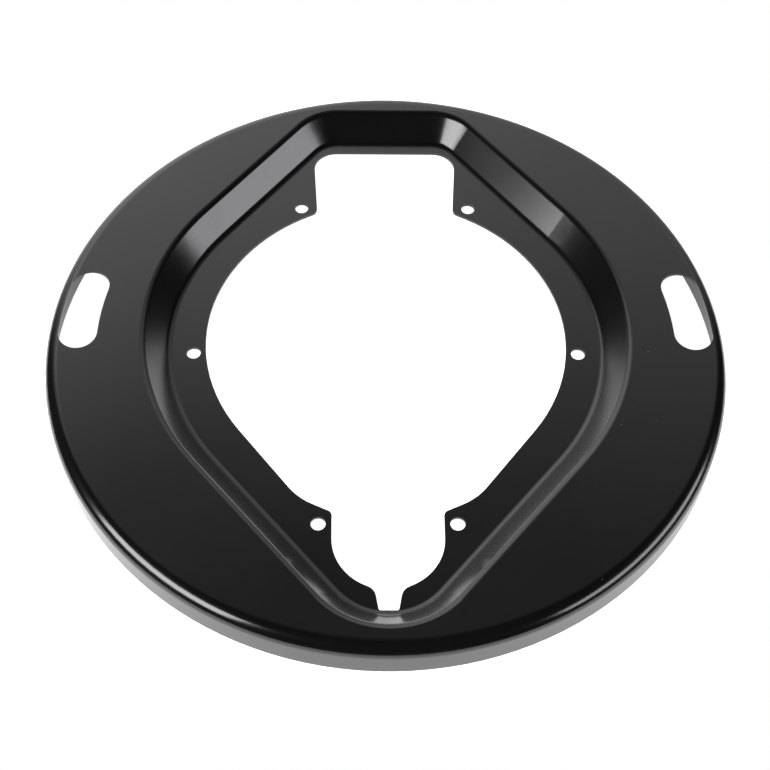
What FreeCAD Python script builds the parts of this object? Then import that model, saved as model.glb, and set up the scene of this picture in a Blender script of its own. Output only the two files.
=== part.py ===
"""Round pressed cover plate with a sunken mounting flange. Millimetres, +Z up.

Origin: centre of the circle that the rim's bottom edge stands on.
The narrow end of the recess points to -Y and its wide end to +Y.
The plate is the same on both sides of the YZ plane.
"""
import FreeCAD, Part
import math
import os

V = FreeCAD.Vector

# Plate and rim
RIM_RADIUS = 215.0          # outside of the skirt
PLATE_HEIGHT = 25.0         # bottom edge of the skirt to the top face
SHEET = 2.0                 # wall thickness everywhere
RIM_BEND = 9.0              # outside bend from the top face to the skirt

# Recess
RECESS_DEPTH = 17.5         # top face down to the flange's top face
WALL_RUN = 14.5             # how far the sloped wall leans outward
RECESS_BEND = 5.0           # bend on the visible side, at the top and the foot of the wall
RECESS_CENTRE_Y = 10.0      # centre of the recess's round middle
SIDE_LAND = 28.7            # recess's mouth to a hand slot
REAR_LAND = 17.5            # recess's mouth to the rim's outside, wide end
REAR_TAPER_DEG = 38.0       # normal of the straight side towards the wide end
FRONT_TAPER_DEG = 40.5      # normal of the straight side towards the narrow end
REAR_CORNER = 20.0          # corner radius at flange level, wide end
NOSE_RADIUS = 40.0          # radius at flange level, narrow end

# Opening in the flange
OPENING_CENTRE_Y = 12.5     # centre of its round middle
FLANGE_WIDTH = 23.6         # how much smaller its round middle is than the recess's, in radius
REAR_FLANGE = 8.0           # recess wall to the opening at the wide end
NOTCH_WIDTH = 100.0         # rear notch, across at its rear edge
NOTCH_TAPER = 3.5           # how much nearer each side comes to the middle at the mouth
NOTCH_CORNER = 15.0         # its rear corners
NOTCH_MOUTH = 5.0           # where its sides meet the round opening
OPENING_TAPER_DEG = 38.0    # normal of the opening's straight side towards the narrow end
BAY_WIDTH = 67.0            # round-ended bay at the narrow end
BAY_FLANGE = 15.7           # recess wall to the end of the bay
TAB_EDGE = 22.5             # length of the tab's edge beside the bay, before its ends are rounded
TAB_SLOPE_DEG = 25.0        # slope of the tab's edge
TAB_BLEND = 40.0            # radius from the tapered side into the tab's edge
TAB_CORNER = 4.0            # radius of the tab's corner
SLIT_WIDTH = 16.4           # slit from the end of the bay towards the recess wall, at its mouth
SLIT_TAPER = 2.4            # how much nearer each side comes to the middle at its closed end
SLIT_FLANGE = 2.7           # recess wall to the closed end
SLIT_MOUTH = 8.0            # radius where its sides meet the bay
SLIT_CORNER = 1.5           # corners of the closed end

# Hand slots
HAND_SLOT_WIDTH = 24.5
HAND_SLOT_LENGTH = 62.0     # end to end, along the slot's middle
HAND_SLOT_EDGE = 7.5        # rim's outside to the slot
HAND_SLOT_OFFSET = 21.5     # middle of the slot from the X axis, towards +Y

# Bolt holes
HOLE_RADIUS = 4.5           # M8 clearance
HOLE_EDGE = 7.8             # hole's centre to the edge of the round opening
REAR_HOLE_INSET = 10.8      # rear pair, from the narrowest part of the notch
SIDE_HOLE_DEG = -6.0        # middle pair, seen from the opening's centre
TAB_HOLE_INSET = 8.0        # front pair, from the bay's side and from the tab's corner

CLEAR = 5.0                 # how far a cutting tool runs past the sheet
TOUCH = 0.001               # lengths closer than this count as equal

# What follows from them
FLANGE_TOP = PLATE_HEIGHT - RECESS_DEPTH
HAND_SLOT_OUTER = RIM_RADIUS - HAND_SLOT_EDGE
HAND_SLOT_INNER = HAND_SLOT_OUTER - HAND_SLOT_WIDTH
RECESS_RADIUS = HAND_SLOT_INNER - SIDE_LAND - WALL_RUN
RECESS_REAR = RIM_RADIUS - REAR_LAND - WALL_RUN
NOSE_REACH = (RECESS_RADIUS - NOSE_RADIUS) / math.sin(math.radians(FRONT_TAPER_DEG))
RECESS_FRONT = RECESS_CENTRE_Y - NOSE_REACH - NOSE_RADIUS
OPENING_RADIUS = RECESS_RADIUS - FLANGE_WIDTH
OPENING_REAR = RECESS_REAR - REAR_FLANGE
BAY_END = RECESS_FRONT + BAY_FLANGE
SLIT_END = RECESS_FRONT + SLIT_FLANGE
FLANGE_CUT_LOW = FLANGE_TOP - SHEET - CLEAR
FLANGE_CUT_HIGH = FLANGE_TOP + CLEAR


def direction(degrees):
    """Unit vector in the XY plane."""
    return V(math.cos(math.radians(degrees)), math.sin(math.radians(degrees)), 0)


def mirrored(edges):
    """The same edges on the other side of the YZ plane."""
    return [edge.mirror(V(0, 0, 0), V(1, 0, 0)) for edge in edges]


def closed_wire(edges):
    return Part.Wire(Part.__sortEdges__(edges))


def prism(wire, low_z, high_z):
    """Straight solid from a wire drawn at z = 0."""
    face = Part.Face(wire)
    face.translate(V(0, 0, low_z))
    return face.extrude(V(0, 0, high_z - low_z))


def round_upright_edges(solid, radius, spots):
    """Fillet the vertical edges of a prism that stand nearest to the spots and to their mirror images."""
    upright = [e for e in solid.Edges if abs(e.BoundBox.ZLength - e.Length) < TOUCH]
    chosen = []
    for spot in spots:
        for x in (spot.x, -spot.x):
            place = V(x, spot.y, 0)
            chosen.append(min(upright, key=lambda e: flat_distance(e.BoundBox.Center, place)))
    return solid.makeFillet(radius, chosen)


def flat_distance(a, b):
    return math.hypot(a.x - b.x, a.y - b.y)


def recess_wire(grow, z):
    """Outline of the recess at a height, grown outward by a distance.

    It has a straight rear edge, two rounded rear corners, straight tapers that touch a large
    round middle, and a round nose.
    """
    middle = V(0, RECESS_CENTRE_Y, z)
    radius = RECESS_RADIUS + grow
    corner_radius = REAR_CORNER + grow
    nose_radius = NOSE_RADIUS + grow
    rear_side = direction(REAR_TAPER_DEG)
    front_side = direction(-FRONT_TAPER_DEG)

    corner_y = RECESS_REAR - REAR_CORNER
    corner_x = (radius - corner_radius - (corner_y - middle.y) * rear_side.y) / rear_side.x
    corner = V(corner_x, corner_y, z)
    halfway = direction((REAR_TAPER_DEG + 90.0) / 2)
    rear_edge_end = corner + V(0, corner_radius, 0)
    corner_end = corner + rear_side * corner_radius

    nose = middle - V(0, NOSE_REACH, 0)
    nose_start = nose + front_side * nose_radius

    arc_start = middle + rear_side * radius
    arc_end = middle + front_side * radius
    side = [
        Part.Arc(rear_edge_end, corner + halfway * corner_radius, corner_end).toShape(),
        Part.makeLine(corner_end, arc_start),
        Part.Arc(arc_start, middle + V(radius, 0, 0), arc_end).toShape(),
        Part.makeLine(arc_end, nose_start),
    ]
    rear_edge = Part.makeLine(V(-rear_edge_end.x, rear_edge_end.y, z), rear_edge_end)
    nose_end = V(-nose_start.x, nose_start.y, z)
    nose_arc = Part.Arc(nose_start, nose + V(0, -nose_radius, 0), nose_end).toShape()
    return closed_wire([rear_edge] + side + [nose_arc] + mirrored(side))


def recess_body(skin):
    """Solid that fills the recess above one skin of the sheet: 0 is the top skin, SHEET the underside."""
    lean = WALL_RUN / RECESS_DEPTH
    # The wall is offset square to itself, which moves it outward at any one height.
    shift = skin * math.hypot(1.0, lean) - skin * lean
    floor_z = FLANGE_TOP - skin
    mouth_z = PLATE_HEIGHT + CLEAR - skin
    low = recess_wire(shift, floor_z)
    high = recess_wire(shift + (mouth_z - floor_z) * lean, mouth_z)
    body = Part.makeLoft([low, high], True, True)
    floor_edges = [e for e in body.Edges if e.BoundBox.ZMax < floor_z + TOUCH]
    return body.makeFillet(RECESS_BEND + skin, floor_edges)


def sunk_disc(skin, bottom_z):
    """Solid under one skin of the plate: a disc with a rounded rim and the recess sunk in it."""
    radius = RIM_RADIUS - skin
    top_z = PLATE_HEIGHT - skin
    disc = Part.makeCylinder(radius, top_z - bottom_z, V(0, 0, bottom_z))
    rim = [e for e in disc.Edges if e.BoundBox.ZMin > top_z - TOUCH]
    disc = disc.makeFillet(RIM_BEND - skin, rim)
    disc = disc.cut(recess_body(skin))
    # The rim's edge is one full circle; each edge of the recess's mouth is shorter than half of it.
    top_edges = [e for e in disc.Edges if e.BoundBox.ZMin > top_z - TOUCH]
    mouth = [e for e in top_edges if e.Length < math.pi * (RIM_RADIUS - RIM_BEND)]
    return disc.makeFillet(RECESS_BEND - skin, mouth)


def tab_shoulder():
    """Where the opening's tapered side would meet the tab's edge, on the +X side."""
    taper = direction(-OPENING_TAPER_DEG)
    x = BAY_WIDTH / 2 + TAB_EDGE * math.cos(math.radians(TAB_SLOPE_DEG))
    return V(x, OPENING_CENTRE_Y + (OPENING_RADIUS - x * taper.x) / taper.y, 0)


def tab_corner():
    """Where the tab's edge would meet the bay's side, on the +X side."""
    return tab_shoulder() - direction(TAB_SLOPE_DEG) * TAB_EDGE


def two_sided_prism(side):
    """Prism through the flange; side lists the outline's corners on the +X side, rear one last."""
    other_side = [V(-p.x, p.y, 0) for p in reversed(side)]
    return prism(Part.makePolygon(side + other_side + [side[0]]), FLANGE_CUT_LOW, FLANGE_CUT_HIGH)


def opening_prism():
    """Through-cut of the flange: round middle, notch at the wide end, bay and slit at the narrow end."""
    middle = V(0, OPENING_CENTRE_Y, 0)
    corner = tab_corner()
    shoulder = tab_shoulder()
    tangent = middle + direction(-OPENING_TAPER_DEG) * OPENING_RADIUS
    other_tangent = V(-tangent.x, tangent.y, 0)
    side = [tangent, shoulder, corner]
    other_side = [V(-p.x, p.y, 0) for p in reversed(side)]
    round_side = Part.Arc(other_tangent, middle + V(0, OPENING_RADIUS, 0), tangent).toShape()
    outline = closed_wire([round_side] + Part.makePolygon(side + other_side).Edges)
    cut = prism(outline, FLANGE_CUT_LOW, FLANGE_CUT_HIGH)

    bay_half = BAY_WIDTH / 2
    bay_y = BAY_END + bay_half
    height = FLANGE_CUT_HIGH - FLANGE_CUT_LOW
    bay = Part.makeCylinder(bay_half, height, V(0, bay_y, FLANGE_CUT_LOW))
    bay_back = Part.makeBox(BAY_WIDTH, middle.y - bay_y, height, V(-bay_half, bay_y, FLANGE_CUT_LOW))

    notch_half = NOTCH_WIDTH / 2
    mouth_half = notch_half - NOTCH_TAPER
    notch_corner = V(notch_half, OPENING_REAR, 0)
    notch_mouth = V(mouth_half, middle.y + math.sqrt(OPENING_RADIUS ** 2 - mouth_half ** 2), 0)
    notch = two_sided_prism([V(mouth_half, middle.y, 0), notch_mouth, notch_corner])
    notch = round_upright_edges(notch, NOTCH_CORNER, [notch_corner])

    slit_half = SLIT_WIDTH / 2
    slit_corner = V(slit_half - SLIT_TAPER, SLIT_END, 0)
    slit_mouth = V(slit_half, bay_y - math.sqrt(bay_half ** 2 - slit_half ** 2), 0)
    slit = two_sided_prism([slit_corner, slit_mouth, V(slit_half, bay_y, 0)])
    slit = round_upright_edges(slit, SLIT_CORNER, [slit_corner])

    cut = cut.fuse([bay, bay_back, notch, slit]).removeSplitter()
    cut = round_upright_edges(cut, NOTCH_MOUTH, [notch_mouth])
    cut = round_upright_edges(cut, SLIT_MOUTH, [slit_mouth])
    cut = round_upright_edges(cut, TAB_BLEND, [shoulder])
    return round_upright_edges(cut, TAB_CORNER, [corner])


def hand_slot(side):
    """Curved slot with round ends beside the rim; side is 1 or -1."""
    middle_radius = (HAND_SLOT_OUTER + HAND_SLOT_INNER) / 2
    end_radius = HAND_SLOT_WIDTH / 2
    low_z = PLATE_HEIGHT - RIM_BEND - SHEET
    height = RIM_BEND + SHEET + CLEAR
    centre_deg = math.degrees(math.asin(HAND_SLOT_OFFSET / middle_radius))
    half_deg = math.degrees((HAND_SLOT_LENGTH / 2 - end_radius) / middle_radius)
    base = V(0, 0, low_z)
    slot = Part.makeCylinder(HAND_SLOT_OUTER, height, base, V(0, 0, 1), 2 * half_deg)
    slot = slot.cut(Part.makeCylinder(HAND_SLOT_INNER, height, base))
    for degrees in (0.0, 2 * half_deg):
        slot = slot.fuse(Part.makeCylinder(end_radius, height, base + direction(degrees) * middle_radius))
    slot = slot.removeSplitter()
    slot.rotate(V(0, 0, 0), V(0, 0, 1), centre_deg - half_deg)
    return slot if side > 0 else slot.mirror(V(0, 0, 0), V(1, 0, 0))


def bolt_holes():
    """Six drills through the flange, three each side."""
    middle = V(0, OPENING_CENTRE_Y, 0)
    ring = OPENING_RADIUS + HOLE_EDGE
    rear_x = NOTCH_WIDTH / 2 - NOTCH_TAPER + REAR_HOLE_INSET
    rear_hole = middle + V(rear_x, math.sqrt(ring ** 2 - rear_x ** 2), 0)
    tab_hole = tab_corner() + V(TAB_HOLE_INSET, -TAB_HOLE_INSET, 0)
    spots = [rear_hole, middle + direction(SIDE_HOLE_DEG) * ring, tab_hole]
    height = FLANGE_CUT_HIGH - FLANGE_CUT_LOW
    drills = []
    for spot in spots:
        for x in (spot.x, -spot.x):
            drills.append(Part.makeCylinder(HOLE_RADIUS, height, V(x, spot.y, FLANGE_CUT_LOW)))
    return drills


def cover_plate():
    sheet = sunk_disc(0.0, 0.0).cut(sunk_disc(SHEET, -CLEAR))
    tools = [opening_prism(), hand_slot(1), hand_slot(-1)] + bolt_holes()
    return sheet.cut(tools).removeSplitter()


os.makedirs("parts", exist_ok=True)
cover_plate().exportStep("parts/cover_plate.step")
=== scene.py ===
import bpy
import math
from mathutils import Matrix, Vector


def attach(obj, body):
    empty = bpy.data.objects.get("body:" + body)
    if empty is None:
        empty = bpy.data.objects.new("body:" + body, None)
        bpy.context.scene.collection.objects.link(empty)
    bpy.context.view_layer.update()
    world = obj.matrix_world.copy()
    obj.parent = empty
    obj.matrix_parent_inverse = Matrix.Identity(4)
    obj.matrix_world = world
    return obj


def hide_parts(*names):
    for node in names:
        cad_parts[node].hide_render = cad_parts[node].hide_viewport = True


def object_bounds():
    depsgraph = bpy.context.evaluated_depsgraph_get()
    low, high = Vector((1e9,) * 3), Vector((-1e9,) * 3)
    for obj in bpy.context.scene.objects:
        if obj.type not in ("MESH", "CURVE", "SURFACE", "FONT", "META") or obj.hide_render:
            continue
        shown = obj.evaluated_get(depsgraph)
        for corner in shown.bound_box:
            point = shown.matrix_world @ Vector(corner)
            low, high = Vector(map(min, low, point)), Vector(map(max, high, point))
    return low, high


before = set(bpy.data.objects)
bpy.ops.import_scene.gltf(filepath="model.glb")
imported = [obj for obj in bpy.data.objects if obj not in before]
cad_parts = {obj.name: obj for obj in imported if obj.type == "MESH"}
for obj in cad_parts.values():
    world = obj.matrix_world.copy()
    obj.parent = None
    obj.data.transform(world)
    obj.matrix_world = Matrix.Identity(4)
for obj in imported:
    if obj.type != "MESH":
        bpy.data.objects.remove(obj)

cad_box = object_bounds()
scene = bpy.context.scene
scene.view_settings.view_transform = "Standard"

# Camera: above the narrow end of the recess, looking towards +Y. Metres, and unit vectors.
CAMERA_PLACE = Vector((-0.0184, -0.5618, 0.7904))
CAMERA_RIGHT = Vector((0.99980, -0.00858, 0.01758))
CAMERA_UP = Vector((-0.00341, 0.80838, 0.58863))
CAMERA_BACK = Vector((-0.01927, -0.58858, 0.80820))
SENSOR_WIDTH = 36.0         # millimetres
CAMERA_LENS = 70.19         # millimetres
CAMERA_SHIFT = (-0.0021, -0.0554)

# Plate, in metres, as the CAD model has it
RIM_RADIUS = cad_box[1][0]
PLATE_HEIGHT = cad_box[1][2]
RIM_BEND = 0.009
TOUCH = 1e-6                # lengths closer than this count as equal
BEND_TOLERANCE = 2e-5       # how far the mesh's corners may lie off the true bend
FLAT = 0.99999              # Z of the normal of a face on the flat top

# Floor: small, so that the rim's bend reflects the dark room in front of it
FLOOR_RADIUS = 0.27
FLOOR_SIDES = 128
FLOOR_COLOR = (0.90, 0.90, 0.90, 1.0)
FLOOR_ROUGHNESS = 0.9
FLOOR_SPECULAR = 0.1
FLOOR_GLOW = 1.1            # lights the plate from below and burns the floor out to white

# Surroundings: brightness by the height of a direction, its heading and its side
BACKDROP_BRIGHTNESS = 3.2
BACKDROP_TINT = (1.0, 0.99, 0.985, 1.0)
BACKDROP_STOPS = (
    (0.00, 0.35),
    (0.40, 0.38),
    (0.60, 0.56),
    (0.75, 0.42),
    (0.80, 0.25),
    (0.85, 0.07),
    (1.00, 0.02),
)
BACKDROP_EDGES = (0.55, 0.90)       # Y of the heading where the backdrop starts and where it is full
FRONT_BRIGHTNESS = 0.03             # outside the backdrop, on the camera's side
SIDE_SPAN = 0.3                     # X of a direction, either way, over which the backdrop dims
SIDE_LEVELS = (1.55, 0.65)          # left and right
SEEN_BACKGROUND = (1.0, 1.0, 1.0, 1.0)

# Softboxes: azimuth, elevation, width, height, brightness of the face and tint, in degrees and metres
SOFTBOX_DISTANCE = 2.2
SOFTBOXES = {
    "left_softbox": (-150, 27, 1.55, 1.0, 13.0, (1.0, 1.0, 1.0)),
    "right_softbox": (-20, 17, 2.0, 0.7, 6.5, (0.985, 0.975, 1.0)),
}

# Black coating; noise is given as scale, detail and roughness
CLOUD_NOISE = (14.0, 4.0, 0.55)
CLOUD_STOPS = ((0.3, (0.0036, 0.0035, 0.0034, 1)), (0.7, (0.0056, 0.0053, 0.0054, 1)))
DUST_SCALE = 95.0
DUST_EDGE = (0.025, 0.045)          # a speck fades out between these distances from its middle
DUST_NOISE = (40.0, 1.0, 0.5)
DUST_PATCHES = (0.60, 0.64)         # noise above this carries dust
DUST_COLOR = (0.12, 0.12, 0.115, 1)
SHEEN_NOISE = (9.0, 5.0, 0.6)
SHEEN_SPAN = (0.3, 0.7)
SHEEN_ROUGHNESS = (0.15, 0.21)
PEEL_NOISE = (900.0, 2.0, 0.5)
HAIRLINE_TURN = (0.0, 0.0, 0.6)
HAIRLINE_STRETCH = (1.0, 60.0, 1.0)
HAIRLINE_NOISE = (12.0, 3.0, 0.5)
HAIRLINE_EDGE = (0.60, 0.66)
HAIRLINE_SHARE = 0.05               # height of a hairline beside the orange peel
BUMP_STRENGTH = 0.006
BUMP_DISTANCE = 0.0002


def connect(tree, value, socket):
    """Link another node's output to a socket, or set the socket to a plain value."""
    if isinstance(value, bpy.types.NodeSocket):
        tree.links.new(value, socket)
    else:
        socket.default_value = value


def add_node(tree, kind, inputs):
    """New node, with a plain value or another node's output for each named input."""
    node = tree.nodes.new(kind)
    for name, value in inputs.items():
        connect(tree, value, node.inputs[name])
    return node


def math_node(tree, operation, first, second):
    node = tree.nodes.new("ShaderNodeMath")
    node.operation = operation
    connect(tree, first, node.inputs[0])
    connect(tree, second, node.inputs[1])
    return node.outputs[0]


def vector_node(tree, operation, inputs):
    node = tree.nodes.new("ShaderNodeVectorMath")
    node.operation = operation
    for socket, value in zip(node.inputs, inputs):
        connect(tree, value, socket)
    return node.outputs[0]


def map_range(tree, value, source, target, interpolation="LINEAR"):
    """Carry a value from one range, given as a pair, to another."""
    inputs = {"Value": value, "From Min": source[0], "From Max": source[1]}
    inputs.update({"To Min": target[0], "To Max": target[1]})
    node = add_node(tree, "ShaderNodeMapRange", inputs)
    node.interpolation_type = interpolation
    return node.outputs[0]


def color_ramp(tree, value, stops):
    node = add_node(tree, "ShaderNodeValToRGB", {"Fac": value})
    elements = node.color_ramp.elements
    elements[0].position, elements[0].color = stops[0]
    elements[1].position, elements[1].color = stops[-1]
    for place, color in stops[1:-1]:
        elements.new(place).color = color
    return node.outputs["Color"]


def noise(tree, place, settings):
    scale, detail, roughness = settings
    inputs = {"Vector": place, "Scale": scale, "Detail": detail, "Roughness": roughness}
    return add_node(tree, "ShaderNodeTexNoise", inputs).outputs["Fac"]


def new_material(name):
    material = bpy.data.materials.new(name)
    material.use_nodes = True
    return material, material.node_tree, material.node_tree.nodes["Principled BSDF"]


def add_camera():
    data = bpy.data.cameras.new("photo_camera")
    data.lens = CAMERA_LENS
    data.sensor_width = SENSOR_WIDTH
    data.shift_x, data.shift_y = CAMERA_SHIFT
    camera = bpy.data.objects.new("photo_camera", data)
    axes = Matrix((CAMERA_RIGHT, CAMERA_UP, CAMERA_BACK)).transposed()
    camera.matrix_world = Matrix.Translation(CAMERA_PLACE) @ axes.to_4x4()
    scene.collection.objects.link(camera)
    scene.camera = camera


def floor_paper():
    material, _, shader = new_material("floor_paper")
    shader.inputs["Base Color"].default_value = FLOOR_COLOR
    shader.inputs["Roughness"].default_value = FLOOR_ROUGHNESS
    shader.inputs["Specular IOR Level"].default_value = FLOOR_SPECULAR
    shader.inputs["Emission Color"].default_value = FLOOR_COLOR
    shader.inputs["Emission Strength"].default_value = FLOOR_GLOW
    return material


def add_floor():
    mesh = bpy.data.meshes.new("floor")
    turns = [2 * math.pi * i / FLOOR_SIDES for i in range(FLOOR_SIDES)]
    rim = [(FLOOR_RADIUS * math.cos(t), FLOOR_RADIUS * math.sin(t), 0) for t in turns]
    mesh.from_pydata(rim, [], [range(FLOOR_SIDES)])
    mesh.materials.append(floor_paper())
    floor = bpy.data.objects.new("floor", mesh)
    scene.collection.objects.link(floor)


def add_softbox(name, azimuth, elevation, width, height, brightness, tint):
    """Rectangular light facing the origin; its brightness is the radiance of its face."""
    a, e = math.radians(azimuth), math.radians(elevation)
    outward = Vector((math.cos(a) * math.cos(e), math.sin(a) * math.cos(e), math.sin(e)))
    data = bpy.data.lights.new(name, "AREA")
    data.shape = "RECTANGLE"
    data.size = width
    data.size_y = height
    data.energy = brightness * width * height * math.pi
    data.color = tint
    light = bpy.data.objects.new(name, data)
    turn = outward.to_track_quat("Z", "Y").to_matrix().to_4x4()
    light.matrix_world = Matrix.Translation(outward * SOFTBOX_DISTANCE) @ turn
    scene.collection.objects.link(light)


def level_by_height(tree, direction):
    """Bright up to about 50 degrees above the horizon, dark overhead."""
    height = add_node(tree, "ShaderNodeSeparateXYZ", {"Vector": direction}).outputs["Z"]
    stops = [(place, (level, level, level, 1)) for place, level in BACKDROP_STOPS]
    return color_ramp(tree, height, stops)


def level_by_heading(tree, direction):
    """Full towards +Y, nearly nothing outside the backdrop's edges."""
    flat = vector_node(tree, "MULTIPLY", (direction, (1.0, 1.0, 0.0)))
    heading = vector_node(tree, "NORMALIZE", (flat,))
    ahead = add_node(tree, "ShaderNodeSeparateXYZ", {"Vector": heading}).outputs["Y"]
    levels = (FRONT_BRIGHTNESS / BACKDROP_BRIGHTNESS, 1.0)
    return map_range(tree, ahead, BACKDROP_EDGES, levels, "SMOOTHSTEP")


def level_by_side(tree, direction):
    """Brighter on the left than on the right."""
    side = add_node(tree, "ShaderNodeSeparateXYZ", {"Vector": direction}).outputs["X"]
    return map_range(tree, side, (-SIDE_SPAN, SIDE_SPAN), SIDE_LEVELS)


def add_surroundings():
    """What the plate reflects; the camera itself sees plain white behind it."""
    world = bpy.data.worlds.new("studio")
    scene.world = world
    world.use_nodes = True
    tree = world.node_tree
    direction = add_node(tree, "ShaderNodeTexCoord", {}).outputs["Generated"]
    level = math_node(tree, "MULTIPLY", level_by_height(tree, direction), level_by_heading(tree, direction))
    level = math_node(tree, "MULTIPLY", level, level_by_side(tree, direction))
    level = math_node(tree, "MULTIPLY", level, BACKDROP_BRIGHTNESS)
    backdrop = tree.nodes["Background"]
    connect(tree, BACKDROP_TINT, backdrop.inputs["Color"])
    connect(tree, level, backdrop.inputs["Strength"])

    plain = add_node(tree, "ShaderNodeBackground", {"Color": SEEN_BACKGROUND})
    ray = add_node(tree, "ShaderNodeLightPath", {})
    mix = add_node(tree, "ShaderNodeMixShader", {"Fac": ray.outputs["Is Camera Ray"]})
    tree.links.new(backdrop.outputs[0], mix.inputs[1])
    tree.links.new(plain.outputs[0], mix.inputs[2])
    tree.links.new(mix.outputs[0], tree.nodes["World Output"].inputs["Surface"])


def coating_color(tree, place):
    """Near black with slow cloudy variation and sparse pale dust."""
    cloudy = color_ramp(tree, noise(tree, place, CLOUD_NOISE), CLOUD_STOPS)
    specks = add_node(tree, "ShaderNodeTexVoronoi", {"Vector": place, "Scale": DUST_SCALE})
    speck = map_range(tree, specks.outputs["Distance"], DUST_EDGE, (1.0, 0.0))
    patch = map_range(tree, noise(tree, place, DUST_NOISE), DUST_PATCHES, (0.0, 1.0))
    mix = tree.nodes.new("ShaderNodeMix")
    mix.data_type = "RGBA"
    clean_input, dusty_input = [s for s in mix.inputs if s.type == "RGBA"]
    connect(tree, math_node(tree, "MULTIPLY", speck, patch), mix.inputs["Factor"])
    connect(tree, cloudy, clean_input)
    connect(tree, DUST_COLOR, dusty_input)
    return [s for s in mix.outputs if s.type == "RGBA"][0]


def coating_relief(tree, place):
    """Fine orange peel and hairline scratches, as a normal."""
    turned = {"Vector": place, "Rotation": HAIRLINE_TURN, "Scale": HAIRLINE_STRETCH}
    stretched = add_node(tree, "ShaderNodeMapping", turned).outputs["Vector"]
    hairline = map_range(tree, noise(tree, stretched, HAIRLINE_NOISE), HAIRLINE_EDGE, (0.0, 1.0))
    hairline = math_node(tree, "MULTIPLY", hairline, HAIRLINE_SHARE)
    height = math_node(tree, "ADD", hairline, noise(tree, place, PEEL_NOISE))
    inputs = {"Height": height, "Strength": BUMP_STRENGTH, "Distance": BUMP_DISTANCE}
    return add_node(tree, "ShaderNodeBump", inputs).outputs["Normal"]


def black_coating():
    """Semi-gloss black paint whose sheen wanders a little."""
    material, tree, shader = new_material("black_coating")
    place = add_node(tree, "ShaderNodeTexCoord", {}).outputs["Object"]
    roughness = map_range(tree, noise(tree, place, SHEEN_NOISE), SHEEN_SPAN, SHEEN_ROUGHNESS)
    connect(tree, coating_color(tree, place), shader.inputs["Base Color"])
    connect(tree, roughness, shader.inputs["Roughness"])
    connect(tree, coating_relief(tree, place), shader.inputs["Normal"])
    return material


def rim_normal(point):
    """Outward normal at a point on the rim's bend, its two ends included, or None elsewhere."""
    across = math.hypot(point.x, point.y)
    out = across - (RIM_RADIUS - RIM_BEND)
    up = point.z - (PLATE_HEIGHT - RIM_BEND)
    reach = math.hypot(up, out)
    if up < -TOUCH or out < -TOUCH or abs(reach - RIM_BEND) > BEND_TOLERANCE:
        return None
    return Vector((point.x / across * out / reach, point.y / across * out / reach, up / reach))


def plate_skin():
    """The plate's mesh again, with exact normals on the rim's bend so that highlights run clean."""
    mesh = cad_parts["cover_plate"].data.copy()
    mesh.name = "plate_skin"
    skin = bpy.data.objects.new("plate_skin", mesh)
    scene.collection.objects.link(skin)
    normals = [Vector(n.vector) for n in mesh.corner_normals]
    for face in mesh.polygons:
        exact = [rim_normal(mesh.vertices[v].co) for v in face.vertices]
        if None in exact or face.normal.z > FLAT:
            continue
        for loop, normal in zip(face.loop_indices, exact):
            normals[loop] = normal
    mesh.normals_split_custom_set(normals)
    mesh.materials.clear()
    mesh.materials.append(black_coating())
    return skin


add_camera()
add_floor()
add_surroundings()
for name, settings in SOFTBOXES.items():
    add_softbox(name, *settings)

plate = plate_skin()
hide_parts("cover_plate")
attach(plate, "root")
